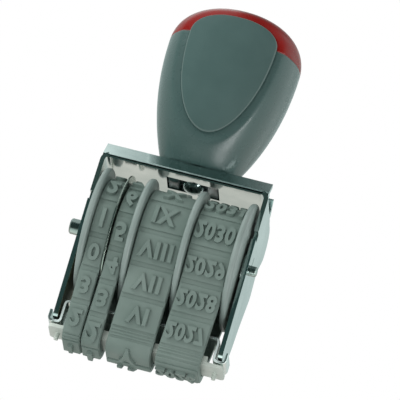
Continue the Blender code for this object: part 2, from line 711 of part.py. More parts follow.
def handle_form(name, inset=0):
    """The closed bulb of the handle, made of oval rings, or one that lies inside it."""
    bm = bmesh.new()
    loops = []
    for height in handle_heights():
        half_width = handle_half(height, HANDLE_WIDTH / 2, NECK_WIDTH / 2, NECK_WIDTH_CURVE_SHARE)
        half_depth = handle_half(height, HANDLE_THICKNESS / 2, NECK_THICKNESS / 2, NECK_DEPTH_CURVE_SHARE)
        ring = bmesh.ops.create_circle(bm, segments=HANDLE_SIDES, radius=1)["verts"]
        for vert in ring:
            x = math.copysign(abs(vert.co.x) ** (2 / SECTION_CURVE_SHARE), vert.co.x)
            y = math.copysign(abs(vert.co.y) ** (2 / SECTION_CURVE_SHARE), vert.co.y)
            x *= half_width - inset
            y *= half_depth - inset
            vert.co = (HANDLE_OFFSET + x, y, PLATE_TOP + height)
        loops.append([edge for edge in bm.edges if all(vert in ring for vert in edge.verts)])
    for lower, upper in zip(loops, loops[1:]):
        bmesh.ops.bridge_loops(bm, edges=lower + upper)
    for loop in (loops[0], loops[-1]):
        bmesh.ops.contextual_create(bm, geom=loop)
    bmesh.ops.recalc_face_normals(bm, faces=bm.faces)
    return mesh_from(bm, name)


def panel_outline(gap):
    """The front view of a grip panel, grown by a gap: an egg, widest where the handle is."""
    level = PLATE_TOP + HANDLE_WIDEST
    half_width = PANEL_WIDTH / 2 + gap
    above = CROWN_HEIGHT - PANEL_TOP_INSET + gap
    below = HANDLE_WIDEST - PANEL_BOTTOM + gap
    points = []
    for step in range(PANEL_POINTS):
        angle = 2 * math.pi * (step + 0.5) / PANEL_POINTS
        x, z = math.cos(angle), math.sin(angle)
        curve = PANEL_TOP_CURVE_SHARE if z > 0 else PANEL_BOTTOM_CURVE_SHARE
        x = math.copysign(abs(x) ** (2 / curve), x)
        z = math.copysign(abs(z) ** (2 / curve), z)
        points.append((half_width * x, level + (above if z > 0 else below) * z))
    return points


def panel_prism(name, gap, side):
    """A block with the panel's outline, which runs from the handle's middle out of its front or back."""
    reach = HANDLE_THICKNESS
    curve = flat_curve(name, reach, panel_outline(gap))
    place = Matrix.Translation((HANDLE_OFFSET, side * (reach / 2 + PANEL_THICKNESS), 0)) @ UPRIGHT
    return curve_to_mesh(curve, place)


def slab(name, low, high):
    """A block wider than the handle, between two heights."""
    reach = HANDLE_WIDTH
    return box_mesh(name, (HANDLE_OFFSET - reach, -reach, low), (HANDLE_OFFSET + reach, reach, high))


def add_handle():
    """Body, cap and two grip panels, all cut from the same bulb."""
    form = "handle_form"
    core = add_cutter("panel_floor", handle_form("panel_floor", PANEL_THICKNESS))
    deep_core = add_cutter("recess_floor", handle_form("recess_floor", PANEL_THICKNESS + TOUCH_GAP))
    recesses = []
    for name, side in (("front", -1), ("rear", 1)):
        recess = add_cutter(name + "_recess", panel_prism(name + "_recess", PANEL_GAP, side))
        combine(recess, deep_core, "DIFFERENCE")
        recesses.append(recess)
        outline = add_cutter(name + "_outline", panel_prism(name + "_outline", 0, side))
        panel = add_part(name + "_grip_panel", handle_form(form), PANEL_PLASTIC)
        combine(panel, outline, "INTERSECT")
        combine(panel, core, "DIFFERENCE")

    split = PLATE_TOP + HANDLE_HEIGHT - CAP_HEIGHT
    middle = Matrix.Translation((HANDLE_OFFSET, 0, 0))
    body = add_part("handle_body", handle_form(form), GREY_PLASTIC)
    over = add_cutter("over_split", slab("over_split", split, PLATE_TOP + HANDLE_HEIGHT + OVERRUN))
    combine(body, over, "DIFFERENCE")
    add_handle_base(body)
    socket = rod_mesh("cap_socket", SPIGOT_RADIUS + PANEL_GAP, split - SPIGOT_LENGTH - TOUCH_GAP,
                      split + OVERRUN)
    combine(body, add_cutter("cap_socket", socket, middle), "DIFFERENCE")

    cap = add_part("handle_cap", handle_form(form), RED_PLASTIC)
    under = add_cutter("under_split", slab("under_split", PLATE_TOP, split + PANEL_GAP))
    combine(cap, under, "DIFFERENCE")
    spigot = rod_mesh("spigot", SPIGOT_RADIUS, split - SPIGOT_LENGTH, split + OVERRUN)
    combine(cap, add_cutter("spigot", spigot, middle), "UNION")
    for piece in (body, cap):
        for recess in recesses:
            combine(piece, recess, "DIFFERENCE")


def add_handle_base(body):
    """The foot that sits under the lips, its prongs in the window, and the bore for the screw."""
    rise = LIP_HEIGHT + SHEET / 2
    cover = (SHEET / 2 + TOUCH_GAP) * math.hypot(LIP_LEAN, rise) / rise
    fold = FRAME_DEPTH / 2 - SHEET / 2
    widest = fold - cover - (HANDLE_BOTTOM - PLATE_TOP + SHEET / 2) * LIP_LEAN / rise
    top = PLATE_TOP + NECK_HEIGHT + TOUCH_GAP
    narrowest = widest - (top - HANDLE_BOTTOM) * LIP_LEAN / rise
    foot = [(-widest, HANDLE_BOTTOM), (widest, HANDLE_BOTTOM), (narrowest, top), (-narrowest, top)]
    curve = flat_curve("base", BASE_LENGTH, foot)
    place = Matrix.Translation((HANDLE_OFFSET, 0, 0)) @ SIDEWAYS
    combine(body, add_cutter("base", curve_to_mesh(curve, place)), "UNION")
    outer = WINDOW_LENGTH / 2 - TOUCH_GAP
    half = WINDOW_DEPTH / 2 - TOUCH_GAP
    for name, side in (("left", -1), ("right", 1)):
        ends = sorted((HANDLE_OFFSET + side * outer, HANDLE_OFFSET + side * (outer - PRONG_WIDTH)))
        prong = box_mesh(name + "_prong", (ends[0], -half, PLATE_UNDERSIDE + TOUCH_GAP / 2),
                         (ends[1], half, HANDLE_BOTTOM + TOUCH_GAP))
        combine(body, add_cutter(name + "_prong", prong), "UNION")
    start = HANDLE_BOTTOM + INSERT_START
    middle = Matrix.Translation((HANDLE_OFFSET, 0, 0))
    bore = rod_mesh("screw_bore", SCREW_RADIUS + SCREW_PLAY, HANDLE_BOTTOM - OVERRUN,
                    HANDLE_BOTTOM + SCREW_LENGTH + TOUCH_GAP, 20)
    combine(body, add_cutter("screw_bore", bore, middle), "DIFFERENCE")
    pocket = rod_mesh("insert_pocket", INSERT_RADIUS + PANEL_GAP, start - PANEL_GAP,
                      start + INSERT_LENGTH + PANEL_GAP)
    combine(body, add_cutter("insert_pocket", pocket, middle), "DIFFERENCE")


def add_screw_and_insert():
    """A dome-headed screw from below, in the threaded insert of the handle."""
    place = Matrix.Translation((HANDLE_OFFSET, 0, 0))
    seat = HEAD_SEAT
    rim = SCREW_HEAD_RIM_SHARE
    dome = []
    for step in range(SCREW_DOME_STEPS):
        angle = math.pi / 2 * step / SCREW_DOME_STEPS
        drop = rim + (1 - rim) * math.sin(angle)
        dome.append((SCREW_HEAD_RADIUS * math.cos(angle), seat - SCREW_HEAD_HEIGHT * drop))
    dome.append((0, seat - SCREW_HEAD_HEIGHT))
    tip = HANDLE_BOTTOM + SCREW_LENGTH
    profile = [(0, tip), (SCREW_RADIUS - AXLE_EDGE, tip), (SCREW_RADIUS, tip - AXLE_EDGE),
               (SCREW_RADIUS, seat), (SCREW_HEAD_RADIUS, seat)] + dome
    add_turned("handle_screw", profile, DARK_STEEL, place, steps=24, closed=False)
    start = HANDLE_BOTTOM + INSERT_START
    ring = ring_profile(SCREW_RADIUS + SCREW_PLAY, INSERT_RADIUS, start, start + INSERT_LENGTH)
    add_turned("threaded_insert", ring, BRASS, place, steps=24)


clear_scene()
PARTS = make_collection("date_stamp")
CUTTERS = make_collection("cutters")

CHROME = make_material("chrome", (0.62, 0.68, 0.68), 0.12, 1.0)
STEEL = make_material("steel", (0.45, 0.48, 0.48), 0.3, 1.0)
DARK_STEEL = make_material("dark_steel", (0.18, 0.22, 0.22), 0.2, 1.0)
BRASS = make_material("brass", (0.6, 0.45, 0.18), 0.35, 1.0)
RUBBER = make_material("type_rubber", (0.17, 0.22, 0.2), 0.75, 0.0)
WHEEL_PLASTIC = make_material("wheel_plastic", (0.27, 0.34, 0.32), 0.5, 0.0)
CREAM = make_material("platen_plastic", (0.5, 0.5, 0.45), 0.5, 0.0)
GREY_PLASTIC = make_material("handle_plastic", (0.07, 0.12, 0.11), 0.35, 0.0)
PANEL_PLASTIC = make_material("panel_plastic", (0.065, 0.12, 0.11), 0.65, 0.0)
RED_PLASTIC = make_material("cap_plastic", (0.35, 0.014, 0.012), 0.3, 0.0)

add_frame()
add_axle()
add_wheel_stack()
add_platen()
add_platen_clip()
add_handle()
add_screw_and_insert()
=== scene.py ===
"""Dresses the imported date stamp: bright bent frame, grey rubber type bands and two-colour plastic handle.

Places are in metres in the frame's own space: X along the axle, -Y the front, Z up from the printing face.
"""

import json
import math

import bmesh
import bpy
from mathutils import Matrix, Vector


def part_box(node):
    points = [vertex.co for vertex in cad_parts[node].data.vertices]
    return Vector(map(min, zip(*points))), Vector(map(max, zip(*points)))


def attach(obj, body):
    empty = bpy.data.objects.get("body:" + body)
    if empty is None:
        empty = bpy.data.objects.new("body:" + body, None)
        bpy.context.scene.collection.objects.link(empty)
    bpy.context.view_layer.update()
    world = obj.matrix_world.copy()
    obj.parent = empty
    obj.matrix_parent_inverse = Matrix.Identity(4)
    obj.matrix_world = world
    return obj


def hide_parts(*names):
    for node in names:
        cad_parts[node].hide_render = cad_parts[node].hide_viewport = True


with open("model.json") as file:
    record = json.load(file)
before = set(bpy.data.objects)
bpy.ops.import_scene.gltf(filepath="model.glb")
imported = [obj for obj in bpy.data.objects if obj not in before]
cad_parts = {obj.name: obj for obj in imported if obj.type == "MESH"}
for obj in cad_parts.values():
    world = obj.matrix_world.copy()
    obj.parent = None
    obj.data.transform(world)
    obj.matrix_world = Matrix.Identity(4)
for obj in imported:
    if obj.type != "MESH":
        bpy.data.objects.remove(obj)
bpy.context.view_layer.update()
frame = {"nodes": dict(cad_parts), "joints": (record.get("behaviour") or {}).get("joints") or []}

MM = 0.001

# How near two points are when they are joined
SOLID_WELD = 0.002 * MM
FORM_WELD = 0.005 * MM
BAND_WELD = 0.001 * MM
FONT_WELD = 0.0001

# A face faces a way when its normal has at least this share in it
FACING = 0.9

# Patterns of the materials, with scales in features per metre; most of a pattern lies in the range
NOISE_RANGE = (0.3, 0.7)
CLOUD_SCALE = 160
GLOSS_SCALE = 420
TARNISH_SCALE = 90
ROLLING_SCALE = 700
ROLLING_STRETCH = (1, 6, 1)
RIPPLE_SCALE = 120
RIPPLE_HEIGHT = 0.03 * MM

# Camera, set so that the stamp lies in the picture as in the photograph
CAMERA_AZIMUTH = math.radians(8.5)
CAMERA_ELEVATION = math.radians(-21)
CAMERA_ROLL = math.radians(17.1)
CAMERA_DISTANCE = 850 * MM
CAMERA_TARGET = Vector((2.96, 0, 32.67)) * MM
VIEW_WIDTH = 69.5 * MM
SENSOR_WIDTH = 36.0

# Sizes shared with the solids
AXLE = Vector(next(joint["pos_m"] for joint in frame["joints"] if joint["name"] == "month_turn"))
TYPE_RELIEF = 0.9 * MM
BAND_THICKNESS = 1.25 * MM
TOUCH_GAP = 0.3 * MM
PLATEN_FLAT = 4.6 * MM
PLATEN_CORNER = 0.65 * MM
CORNER_RADIUS = BAND_THICKNESS + TOUCH_GAP + PLATEN_CORNER
CORNER_HEIGHT = CORNER_RADIUS + TYPE_RELIEF
BAND_RADIUS = AXLE.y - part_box("month_band")[0].y - TYPE_RELIEF
TYPE_ROWS = 13

# Relief of a band
SLUG_LENGTH = 4.95 * MM
SLUG_HEIGHT = 0.28 * MM
SLUG_MARGIN = 0.12 * MM
SLUG_EDGE = 0.08 * MM
TYPE_HEIGHT = 3.1 * MM
TYPE_EDGE = 0.09 * MM
TYPE_WEIGHT = 0.045
TYPE_SPACING = 1.1
BAND_EDGE = 0.1 * MM
BEND_STEP = 0.5 * MM
TYPE_STEP = 0.6 * MM
TENS_TURN = 0.35 * MM
UNITS_TURN = -1.15 * MM
MONTH_TURN = 2.1 * MM
YEAR_TURN = 2.35 * MM
TENS_SETBACK = 0.4 * MM
YEAR_SETBACK = 2.05 * MM
MONTH_STRETCH = 1.35 * MM
RIB_PITCH = 0.52 * MM
RIB_WIDTH = 0.3 * MM
RIB_HEIGHT = 0.15 * MM
SPREAD_TO_RIM = 0.05 * MM
SPREAD_TO_DISC = 0.16 * MM

# How far the two edges of a band sway aside at the floor, from nothing at the top of the sway
SWAY_TOP = 13 * MM
TENS_SWAYS = (-0.25 * MM, -0.4 * MM)
UNITS_SWAYS = (-0.75 * MM, -0.28 * MM)
MONTH_SWAYS = (-0.6 * MM, -0.45 * MM)
YEAR_SWAYS = (-1.0 * MM, -0.85 * MM)

# Handle, in step with the solids
HANDLE_X = 1.2 * MM
HANDLE_LEAN = 0.013
PLATE_TOP = 35.2 * MM
NECK_BOTTOM = PLATE_TOP + 2.3 * MM
CROWN_HEIGHT = 8.1 * MM
HANDLE_TOP = 67.9 * MM
HANDLE_WIDEST = HANDLE_TOP - CROWN_HEIGHT
CAP_SPLIT = HANDLE_TOP - 7.7 * MM
HANDLE_WIDTH = 23.8 * MM
HANDLE_THICKNESS = 21.0 * MM
NECK_WIDTH = 13.5 * MM
NECK_THICKNESS = 7.0 * MM
NECK_WIDTH_CURVE = 2.1
NECK_DEPTH_CURVE = 3.4
CROWN_CURVE = 2.2
SECTION_CURVE = 2.1
BULB_SIDES = 160
BULB_STEP = 0.45 * MM
CROWN_STEPS = 26
ROUNDING_STEPS = 3
SEAM_EDGE = 0.16 * MM
PANEL_WIDTH = 15.6 * MM
PANEL_RISE = CROWN_HEIGHT - 3.8 * MM
PANEL_DROP = HANDLE_WIDEST - PLATE_TOP - 7.2 * MM
PANEL_TOP_CURVE = 2.4
PANEL_BOTTOM_CURVE = 2.0
PANEL_THICKNESS = 1.1 * MM
PANEL_EDGE = 0.24 * MM
PANEL_SIDES = 120
PANEL_RINGS = 12
VALLEY_DEPTH = 0.6 * MM
VALLEY_WIDTH = 1.7 * MM
BED_DEPTH = 1.3 * MM
BED_STEP = 0.6 * MM

# Folds of the frame's lips, as bent in the solids and as pressed here, in the side view
FOLD_RADIUS = 0.86 * MM
FOLD_REACH = 0.05 * MM
FOLD_PLACE = 4.0 * MM
FOLD_HEIGHT = 35.28 * MM
TIGHT_FOLD_SHARE = 0.5
TIGHT_FOLD_PLACE = 4.913 * MM
TIGHT_FOLD_HEIGHT = 34.84 * MM

# The plate's edge behind a fold, as in the solids and as drawn in here
CORNER_START = 13.6 * MM
PLATE_BOTTOM = 34.4 * MM
PLATE_REACH = 5.4 * MM
PLATE_EDGE_BOTTOM = (4.95 * MM, PLATE_BOTTOM)
PLATE_EDGE_TOP = (5.25 * MM, PLATE_BOTTOM + 0.22 * MM)

# Other metal pieces, platen and wheels
SHEET = 0.8 * MM
INSIDE_TOP = 33.5 * MM
HOOK_START = 13.3 * MM
PLATEN_SHARE = 0.973
PLATEN_SHIFT = 0.17 * MM
FRAME_EDGE = 0.15 * MM
CLIP_EDGE = 0.15 * MM
PLATEN_EDGE = 0.12 * MM
WHEEL_EDGE = 0.1 * MM
AXLE_EDGE = 0.06 * MM
SMALL_EDGE = 0.05 * MM

# Studio, as the lamps and the mirrors of the stamp see it
FLOOR_SIZE = 3.0
FILL_STRENGTH = 0.55
STAMP_MIDDLE = Vector((0, 0, 30)) * MM
HANDLE_MIDDLE = Vector((HANDLE_X, 0, 45 * MM))
STRIP_DISTANCE = 0.6
STRIP_WAY = Vector((0.62, -0.57, -0.53))
STRIP_ALONG = (-0.66, 0.11, -0.75)
BLACK = (0, 0, 0, 1)
WHITE = (1, 1, 1, 1)
GLOW = (0.85, 0.95, 0.93, 1)
DARK_WALL = (0.05, 0.092, 0.09, 1)
MID_WALL = (0.34, 0.43, 0.42, 1)
PALE_WALL = (0.9, 0.9, 0.9, 1)
DIM_CEILING = (0.13, 0.185, 0.18, 1)
HALF_CEILING = (0.28, 0.34, 0.33, 1)
PALE_CEILING = (1.25, 1.35, 1.33, 1)
WARM_TINT = (0.84, 0.79, 0.73, 1)
COOL_TINT = (0.62, 0.73, 0.71, 1)

# Colours of the studio by the way a mirror looks: from front to back, from left to right and from below
WALLS = ((-0.8, DARK_WALL), (-0.3, MID_WALL), (0.3, PALE_WALL))
CEILING = ((-0.17, PALE_CEILING), (-0.146, HALF_CEILING), (-0.132, DIM_CEILING), (0.25, DIM_CEILING),
           (0.4, PALE_WALL))
TINT = ((-0.3, WARM_TINT), (0.3, COOL_TINT))
RIGHT_WINDOW = ((0.55, BLACK), (0.75, WHITE))
LOW_WINDOW = ((-0.9, WHITE), (-0.72, BLACK))
CEILING_EDGE = ((0.55, BLACK), (0.75, WHITE))


def srgb(red, green, blue):
    """A colour as read from a screen, 0 to 255, in the renderer's linear values."""
    def linear(value):
        value /= 255
        return value / 12.92 if value <= 0.04045 else ((value + 0.055) / 1.055) ** 2.4
    return linear(red), linear(green), linear(blue), 1


# Materials

def new_material(name, colour, roughness, metallic=0.0, specular=0.5):
    """A material of one colour and gloss, which patterns can then vary."""
    material = bpy.data.materials.new(name)
    material.use_nodes = True
    shader = material.node_tree.nodes["Principled BSDF"]
    shader.inputs["Base Color"].default_value = colour
    shader.inputs["Roughness"].default_value = roughness
    shader.inputs["Metallic"].default_value = metallic
    shader.inputs["Specular IOR Level"].default_value = specular
    return material


def add_node(material, kind, **values):
    """A new node of a material, with some of its inputs or settings given."""
    node = material.node_tree.nodes.new(kind)
    for name, value in values.items():
        if name in node.inputs:
            node.inputs[name].default_value = value
        else:
            setattr(node, name, value)
    return node


def join(material, source, target):
    material.node_tree.links.new(source, target)


def noise(material, scale, detail, stretch=(1, 1, 1)):
    """A noise pattern on object coordinates, with scale in features per metre."""
    place = add_node(material, "ShaderNodeTexCoord")
    mapping = add_node(material, "ShaderNodeMapping")
    mapping.inputs["Scale"].default_value = stretch
    pattern = add_node(material, "ShaderNodeTexNoise")
    pattern.inputs["Scale"].default_value = scale
    pattern.inputs["Detail"].default_value = detail
    join(material, place.outputs["Object"], mapping.inputs["Vector"])
    join(material, mapping.outputs["Vector"], pattern.inputs["Vector"])
    return pattern.outputs["Fac"]


def vary_colour(material, value, dark, light):
    """The base colour runs from dark to light with a value."""
    ramp = add_node(material, "ShaderNodeValToRGB")
    for element, place, colour in zip(ramp.color_ramp.elements, NOISE_RANGE, (dark, light)):
        element.position = place
        element.color = colour
    join(material, value, ramp.inputs["Fac"])
    shader = material.node_tree.nodes["Principled BSDF"]
    join(material, ramp.outputs["Color"], shader.inputs["Base Color"])


def vary_roughness(material, value, low, high):
    """The roughness runs from low to high with a value."""
    reach = add_node(material, "ShaderNodeMapRange")
    reach.inputs["From Min"].default_value = NOISE_RANGE[0]
    reach.inputs["From Max"].default_value = NOISE_RANGE[1]
    reach.inputs["To Min"].default_value = low
    reach.inputs["To Max"].default_value = high
    join(material, value, reach.inputs["Value"])
    shader = material.node_tree.nodes["Principled BSDF"]
    join(material, reach.outputs["Result"], shader.inputs["Roughness"])


def add_bump(material, value, height, strength):
    """A value raises the surface by up to a height, to the eye only."""
    bump = add_node(material, "ShaderNodeBump")
    bump.inputs["Strength"].default_value = strength
    bump.inputs["Distance"].default_value = height
    join(material, value, bump.inputs["Height"])
    shader = material.node_tree.nodes["Principled BSDF"]
    join(material, bump.outputs["Normal"], shader.inputs["Normal"])


def moulded(name, dark, light, roughness, grain=4000, grain_height=0.01 * MM, specular=0.5):
    """Moulded plastic: slight clouding of its colour, uneven gloss and a fine grain."""
    material = new_material(name, light, roughness, 0.0, specular)
    vary_colour(material, noise(material, CLOUD_SCALE, 3), dark, light)
    vary_roughness(material, noise(material, GLOSS_SCALE, 4), roughness * 0.85, roughness * 1.15)
    add_bump(material, noise(material, grain, 3), grain_height, 0.6)
    return material


def mark_input(material, attribute, name, marked):
    """An input of the shader goes to another value or colour where a piece marks it in an attribute."""
    plain = material.node_tree.nodes["Principled BSDF"].inputs[name]
    mark = add_node(material, "ShaderNodeAttribute", attribute_name=attribute)
    kind = "RGBA" if isinstance(marked, tuple) else "FLOAT"
    mix = add_node(material, "ShaderNodeMix", data_type=kind)
    mix.inputs["A"].default_value = plain.default_value
    mix.inputs["B"].default_value = marked
    if plain.is_linked:
        join(material, plain.links[0].from_socket, mix.inputs["A"])
    join(material, mark.outputs["Fac"], mix.inputs["Factor"])
    join(material, mix.outputs["Result"], plain)


def add_sheen(material, weight, roughness, tint):
    """A pale bloom where the surface is seen along it, as smooth plastic shows in a bright room."""
    shader = material.node_tree.nodes["Principled BSDF"]
    shader.inputs["Sheen Weight"].default_value = weight
    shader.inputs["Sheen Roughness"].default_value = roughness
    shader.inputs["Sheen Tint"].default_value = tint


def plated(name, dark, light, roughness, metallic=1.0):
    """Bright plating on pressed steel, with faint rolling marks and a soft ripple."""
    material = new_material(name, light, roughness, metallic)
    vary_colour(material, noise(material, TARNISH_SCALE, 3), dark, light)
    rolling = noise(material, ROLLING_SCALE, 5, ROLLING_STRETCH)
    vary_roughness(material, rolling, roughness * 0.7, roughness * 1.4)
    add_bump(material, noise(material, RIPPLE_SCALE, 2), RIPPLE_HEIGHT, 0.5)
    return material


CHROME = plated("bright_plating", srgb(176, 192, 190), srgb(214, 226, 224), 0.1)
CLIP_CHROME = plated("clip_plating", srgb(206, 216, 213), srgb(228, 236, 234), 0.14, 0.9)
STEEL = plated("turned_steel", srgb(120, 132, 128), srgb(170, 182, 178), 0.22)
DARK_STEEL = plated("dark_plating", srgb(126, 142, 142), srgb(158, 174, 173), 0.12)
RUBBER = moulded("type_rubber", srgb(112, 130, 123), srgb(126, 143, 136), 0.6, 5200, 0.02 * MM, 0.35)
RIM_PLASTIC = moulded("wheel_plastic", srgb(136, 152, 147), srgb(152, 167, 162), 0.42, 3800, 0.01 * MM)
CREAM = moulded("platen_plastic", srgb(193, 204, 195), srgb(209, 219, 210), 0.45)
HANDLE_GREY = moulded("handle_plastic", srgb(66, 91, 88), srgb(73, 98, 95), 0.28, 2600, 0.008 * MM)
PANEL_GREY = moulded("panel_plastic", srgb(69, 95, 92), srgb(75, 101, 98), 0.62, 7000, 0.03 * MM, 0.3)
CAP_RED = moulded("cap_plastic", srgb(130, 14, 8), srgb(144, 18, 11), 0.26, 2600, 0.008 * MM, 0.28)
BRASS = plated("turned_brass", srgb(150, 122, 62), srgb(186, 154, 84), 0.25)
DISC_STEEL = plated("disc_plating", srgb(138, 148, 140), srgb(166, 176, 168), 0.24)

# Painted highlights, painted shade and the clip's unplated cut edges, carried by marks on the pieces
# Pale lines along the handle's seam and the grip panels' rims: painted highlights
mark_input(PANEL_GREY, "edge", "Base Color", srgb(128, 146, 142))
mark_input(HANDLE_GREY, "edge", "Base Color", srgb(128, 140, 137))
mark_input(CAP_RED, "edge", "Base Color", srgb(190, 150, 144))
# The frame's inner sides go dull, and their dark olive colour is painted shade
mark_input(CHROME, "inside", "Base Color", srgb(100, 104, 78))
mark_input(CHROME, "inside", "Metallic", 0.2)
mark_input(CHROME, "inside", "Roughness", 0.7)
# The clip's cut edges are unplated, and their near-white colour is a painted highlight
mark_input(CLIP_CHROME, "cut", "Base Color", srgb(232, 248, 245))
mark_input(CLIP_CHROME, "cut", "Metallic", 0.0)
mark_input(CLIP_CHROME, "cut", "Roughness", 0.5)
add_sheen(HANDLE_GREY, 0.5, 0.3, srgb(206, 222, 220))
add_sheen(CAP_RED, 0.1, 0.25, srgb(240, 214, 212))


# Mesh helpers

def smooth_step(value):
    """0 to 1 as a value goes from 0 to 1, with a soft start and end."""
    value = min(1, max(0, value))
    return value * value * (3 - 2 * value)


def mesh_object(bm, name, smooth_angle=35):
    """An object from a bmesh, smooth but for edges that bend by more than an angle in degrees."""
    mesh = bpy.data.meshes.new(name)
    bm.to_mesh(mesh)
    bm.free()
    mesh.shade_smooth()
    mesh.set_sharp_from_angle(angle=math.radians(smooth_angle))
    obj = bpy.data.objects.new(name, mesh)
    bpy.context.scene.collection.objects.link(obj)
    return obj


def dress(obj, body, slot, material, *nodes):
    """The piece takes its material, moves with a body and stands for its nodes."""
    obj.data.materials.clear()
    obj.data.materials.append(material)
    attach(obj, body)
    if nodes:
        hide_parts(*nodes)
    return obj


def merged_copy(node):
    """A bmesh of a node's solid with its triangles joined and its flat faces made whole."""
    bm = bmesh.new()
    bm.from_mesh(frame["nodes"][node].data)
    bmesh.ops.transform(bm, matrix=frame["nodes"][node].matrix_world, verts=bm.verts)
    bmesh.ops.remove_doubles(bm, verts=bm.verts, dist=SOLID_WELD)
    bmesh.ops.dissolve_limit(bm, angle_limit=math.radians(1), verts=bm.verts, edges=bm.edges)
    return bm


def add_bevel(obj, width, segments=2, angle=30):
    """Rounds off every edge that bends by more than an angle in degrees."""
    bevel = obj.modifiers.new("edges", "BEVEL")
    bevel.width = width
    bevel.segments = segments
    bevel.limit_method = "ANGLE"
    bevel.angle_limit = math.radians(angle)
    bevel.harden_normals = True


def refined(node, body, slot, material, edge, angle=30):
    """A node's own shape with smooth curves and softened edges."""
    obj = mesh_object(merged_copy(node), node + "_finish")
    add_bevel(obj, edge, 2, angle)
    return dress(obj, body, slot, material, node)


# Type bands

class BandPath:
    """The side view of a band, with distances along the middle of the rubber."""

    def __init__(self):
        self.wheel = Vector((AXLE.y, AXLE.z))
        self.front = Vector((-PLATEN_FLAT / 2, CORNER_HEIGHT))
        self.back = Vector((PLATEN_FLAT / 2, CORNER_HEIGHT))
        step = BAND_RADIUS - CORNER_RADIUS
        to_front = self.wheel - self.front
        to_back = self.wheel - self.back
        lean_front = math.atan2(to_front.x, to_front.y) - math.asin(step / to_front.length)
        lean_back = math.atan2(to_back.x, to_back.y) + math.asin(step / to_back.length)
        self.front_angle = math.pi / 2 + lean_front
        self.back_angle = 3 * math.pi / 2 + lean_back
        self.corner_bend = CORNER_RADIUS - BAND_THICKNESS / 2
        self.wheel_bend = BAND_RADIUS - BAND_THICKNESS / 2
        self.lengths = [
            PLATEN_FLAT / 2,
            self.front_angle * self.corner_bend,
            math.sqrt(to_front.length_squared - step * step),
            (self.back_angle - self.front_angle) * self.wheel_bend,
            math.sqrt(to_back.length_squared - step * step),
            (2 * math.pi - self.back_angle) * self.corner_bend,
            PLATEN_FLAT / 2,
        ]
        self.total = sum(self.lengths)

    def place(self, distance, lift):
        """The (y, z) point at a distance forwards and up from the middle of the printing face."""
        distance %= self.total
        stretch = 0
        while distance > self.lengths[stretch] and stretch < len(self.lengths) - 1:
            distance -= self.lengths[stretch]
            stretch += 1
        if stretch in (0, 6):
            start = 0 if stretch == 0 else PLATEN_FLAT / 2
            return Vector((start - distance, CORNER_HEIGHT - CORNER_RADIUS - lift))
        centre, radius, angle = {
            1: (self.front, CORNER_RADIUS, distance / self.corner_bend),
            2: (self.front, CORNER_RADIUS, self.front_angle),
            3: (self.wheel, BAND_RADIUS, self.front_angle + distance / self.wheel_bend),
            4: (self.wheel, BAND_RADIUS, self.back_angle),
            5: (self.back, CORNER_RADIUS, self.back_angle + distance / self.corner_bend),
        }[stretch]
        point = centre + Vector((-math.sin(angle), -math.cos(angle))) * (radius + lift)
        if stretch in (2, 4):
            point += Vector((-math.cos(angle), math.sin(angle))) * distance
        return point


PATH = BandPath()


def flat_block(width, start, end, low, high, edge, step, open_ends=False):
    """A block of the unrolled band: X across it, Y along it and Z out of it, cut across at each step."""
    bm = bmesh.new()
    bmesh.ops.create_cube(bm, size=1)
    bmesh.ops.scale(bm, vec=(width, end - start, high - low), verts=bm.verts)
    bmesh.ops.translate(bm, vec=(0, (start + end) / 2, (low + high) / 2), verts=bm.verts)
    if open_ends:
        caps = [face for face in bm.faces if abs(face.normal.y) > 0.5]
        bmesh.ops.delete(bm, geom=caps, context="FACES")
        sharp = [e for e in bm.edges if abs((e.verts[0].co - e.verts[1].co).y) > width / 2]
    else:
        sharp = [e for e in bm.edges if all(vert.co.z > (low + high) / 2 for vert in e.verts)]
    bmesh.ops.bevel(bm, geom=sharp, offset=edge, affect="EDGES", segments=2, profile=0.5, material=-1)
    slice_along(bm, start, end, step)
    return bm


def slice_along(bm, start, end, step):
    """Cuts a block of the unrolled band across, so that it can bend."""
    count = max(1, math.ceil((end - start) / step))
    for cut in range(1, count):
        place = start + (end - start) * cut / count
        geometry = bm.verts[:] + bm.edges[:] + bm.faces[:]
        bmesh.ops.bisect_plane(bm, geom=geometry, dist=0, plane_co=(0, place, 0), plane_no=(0, 1, 0))


def add_to(target, source):
    """Moves all of one bmesh into another."""
    mesh = bpy.data.meshes.new("part")
    source.to_mesh(mesh)
    source.free()
    target.from_mesh(mesh)
    bpy.data.meshes.remove(mesh)


